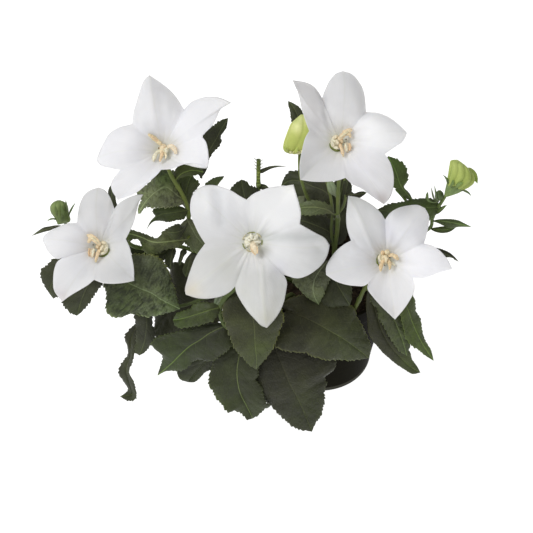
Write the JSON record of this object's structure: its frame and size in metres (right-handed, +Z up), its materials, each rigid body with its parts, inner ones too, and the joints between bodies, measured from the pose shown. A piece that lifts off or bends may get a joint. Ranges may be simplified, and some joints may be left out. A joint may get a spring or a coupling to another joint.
{
  "type": "potted balloon flower",
  "caption": "Flowering pot plant with wide star-shaped bell flowers, swollen buds and serrated leaves on leaning stems, growing from compost in a round tapered nursery pot.",
  "frame": {"origin": "centre of the flat underside of the pot", "axes": "+Z up, -Y towards the viewer of the picture, +X to that viewer's right, so the plant leans towards -X"},
  "size_m": [0.2445, 0.1258, 0.1957],
  "materials": {
    "pot": "satin",
    "soil": "matte",
    "leaf": "satin",
    "stem": "satin",
    "petal": "matte",
    "stamen": "matte",
    "bud": "satin"
  },
  "bodies": {
    "root": {"bud_left": "bud", "bud_right": "bud", "bud_small_right": "bud", "bud_yellow": "bud", "leaf_arching_left": "leaf", "leaf_back_left": "leaf", "leaf_back_low": "leaf", "leaf_back_middle": "leaf", "leaf_back_outer": "leaf", "leaf_back_right": "leaf", "leaf_behind_center_flower": "leaf", "leaf_behind_left_flower": "leaf", "leaf_below_left_flower": "leaf", "leaf_between_right": "leaf", "leaf_between_right_lower": "leaf", "leaf_between_right_upper": "leaf", "leaf_center_right": "leaf", "leaf_far_left": "leaf", "leaf_front_center": "leaf", "leaf_front_left": "leaf", "leaf_front_right": "leaf", "leaf_left_front": "leaf", "leaf_left_front_under": "leaf", "leaf_left_hanging": "leaf", "leaf_left_large": "leaf", "leaf_left_lower": "leaf", "leaf_left_middle": "leaf", "leaf_left_shade": "leaf", "leaf_left_small": "leaf", "leaf_left_upper": "leaf", "leaf_right_center": "leaf", "leaf_right_low": "leaf", "leaf_right_middle": "leaf", "leaf_right_outer": "leaf", "leaf_top_right_serrated": "leaf", "leaf_top_right_upper": "leaf", "leaf_under_left_flower": "leaf", "leaf_under_right_flower": "leaf", "petals_center": "petal", "petals_left": "petal", "petals_right": "petal", "petals_top_left": "petal", "petals_top_right": "petal", "pot": "pot", "soil": "soil", "stamens_center": "stamen", "stamens_left": "stamen", "stamens_right": "stamen", "stamens_top_left": "stamen", "stamens_top_right": "stamen", "stem_back": "stem", "stem_center": "stem", "stem_left": "stem", "stem_left_low": "stem", "stem_right": "stem", "stem_right_bud": "stem", "stem_top_left": "stem", "stem_top_right": "stem", "stem_yellow_bud": "stem"}
  },
  "joints": []
}
